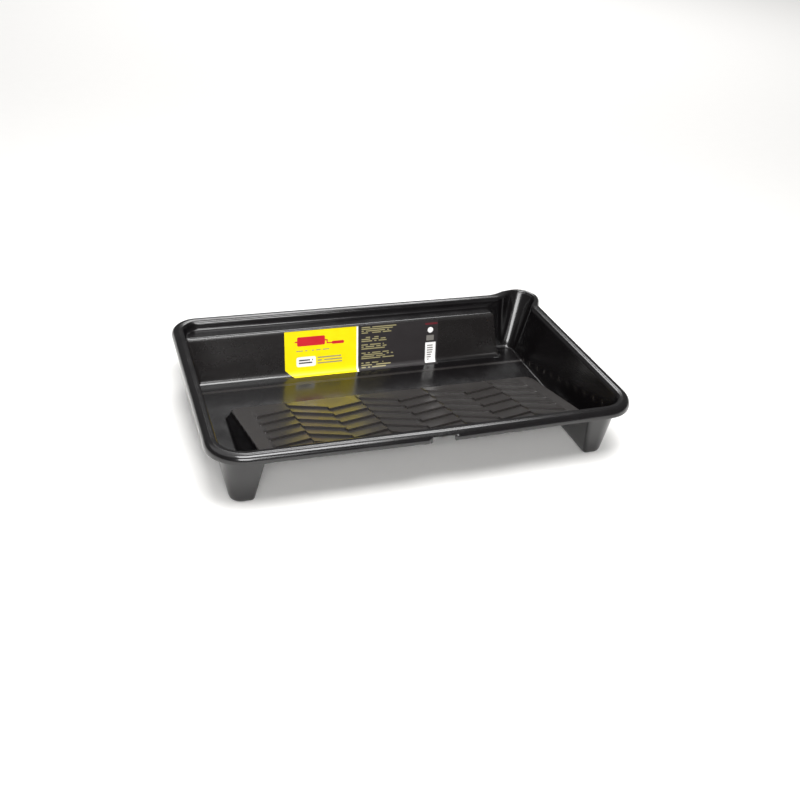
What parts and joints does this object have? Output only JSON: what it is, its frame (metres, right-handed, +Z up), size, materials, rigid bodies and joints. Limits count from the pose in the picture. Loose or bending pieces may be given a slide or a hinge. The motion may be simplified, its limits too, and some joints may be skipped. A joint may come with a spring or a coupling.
{
  "type": "paint roller tray",
  "caption": "Deep paint tray for a wide roller: a well, a sloping ramp with chevron shingles, side channels, a shelf and a corner pouring lip.",
  "frame": {"origin": "middle of the tray's footprint, with the pouring lip and the bowed front rim, on the ground", "axes": "+Z up, +X to the right along the rim, +Y from the ramp's high front edge to the deep well at the rear"},
  "size_m": [0.551, 0.3574, 0.082],
  "materials": {
    "tray_plastic": "moulded, satin gloss",
    "ramp_plastic": "moulded, fine texture",
    "label_film": "printed film"
  },
  "bodies": {
    "root": {"well": "tray_plastic", "ramp": "ramp_plastic", "left_channel": "tray_plastic", "right_channel": "tray_plastic", "rear_panel": "tray_plastic", "rim": "tray_plastic", "label": "label_film"}
  },
  "joints": []
}
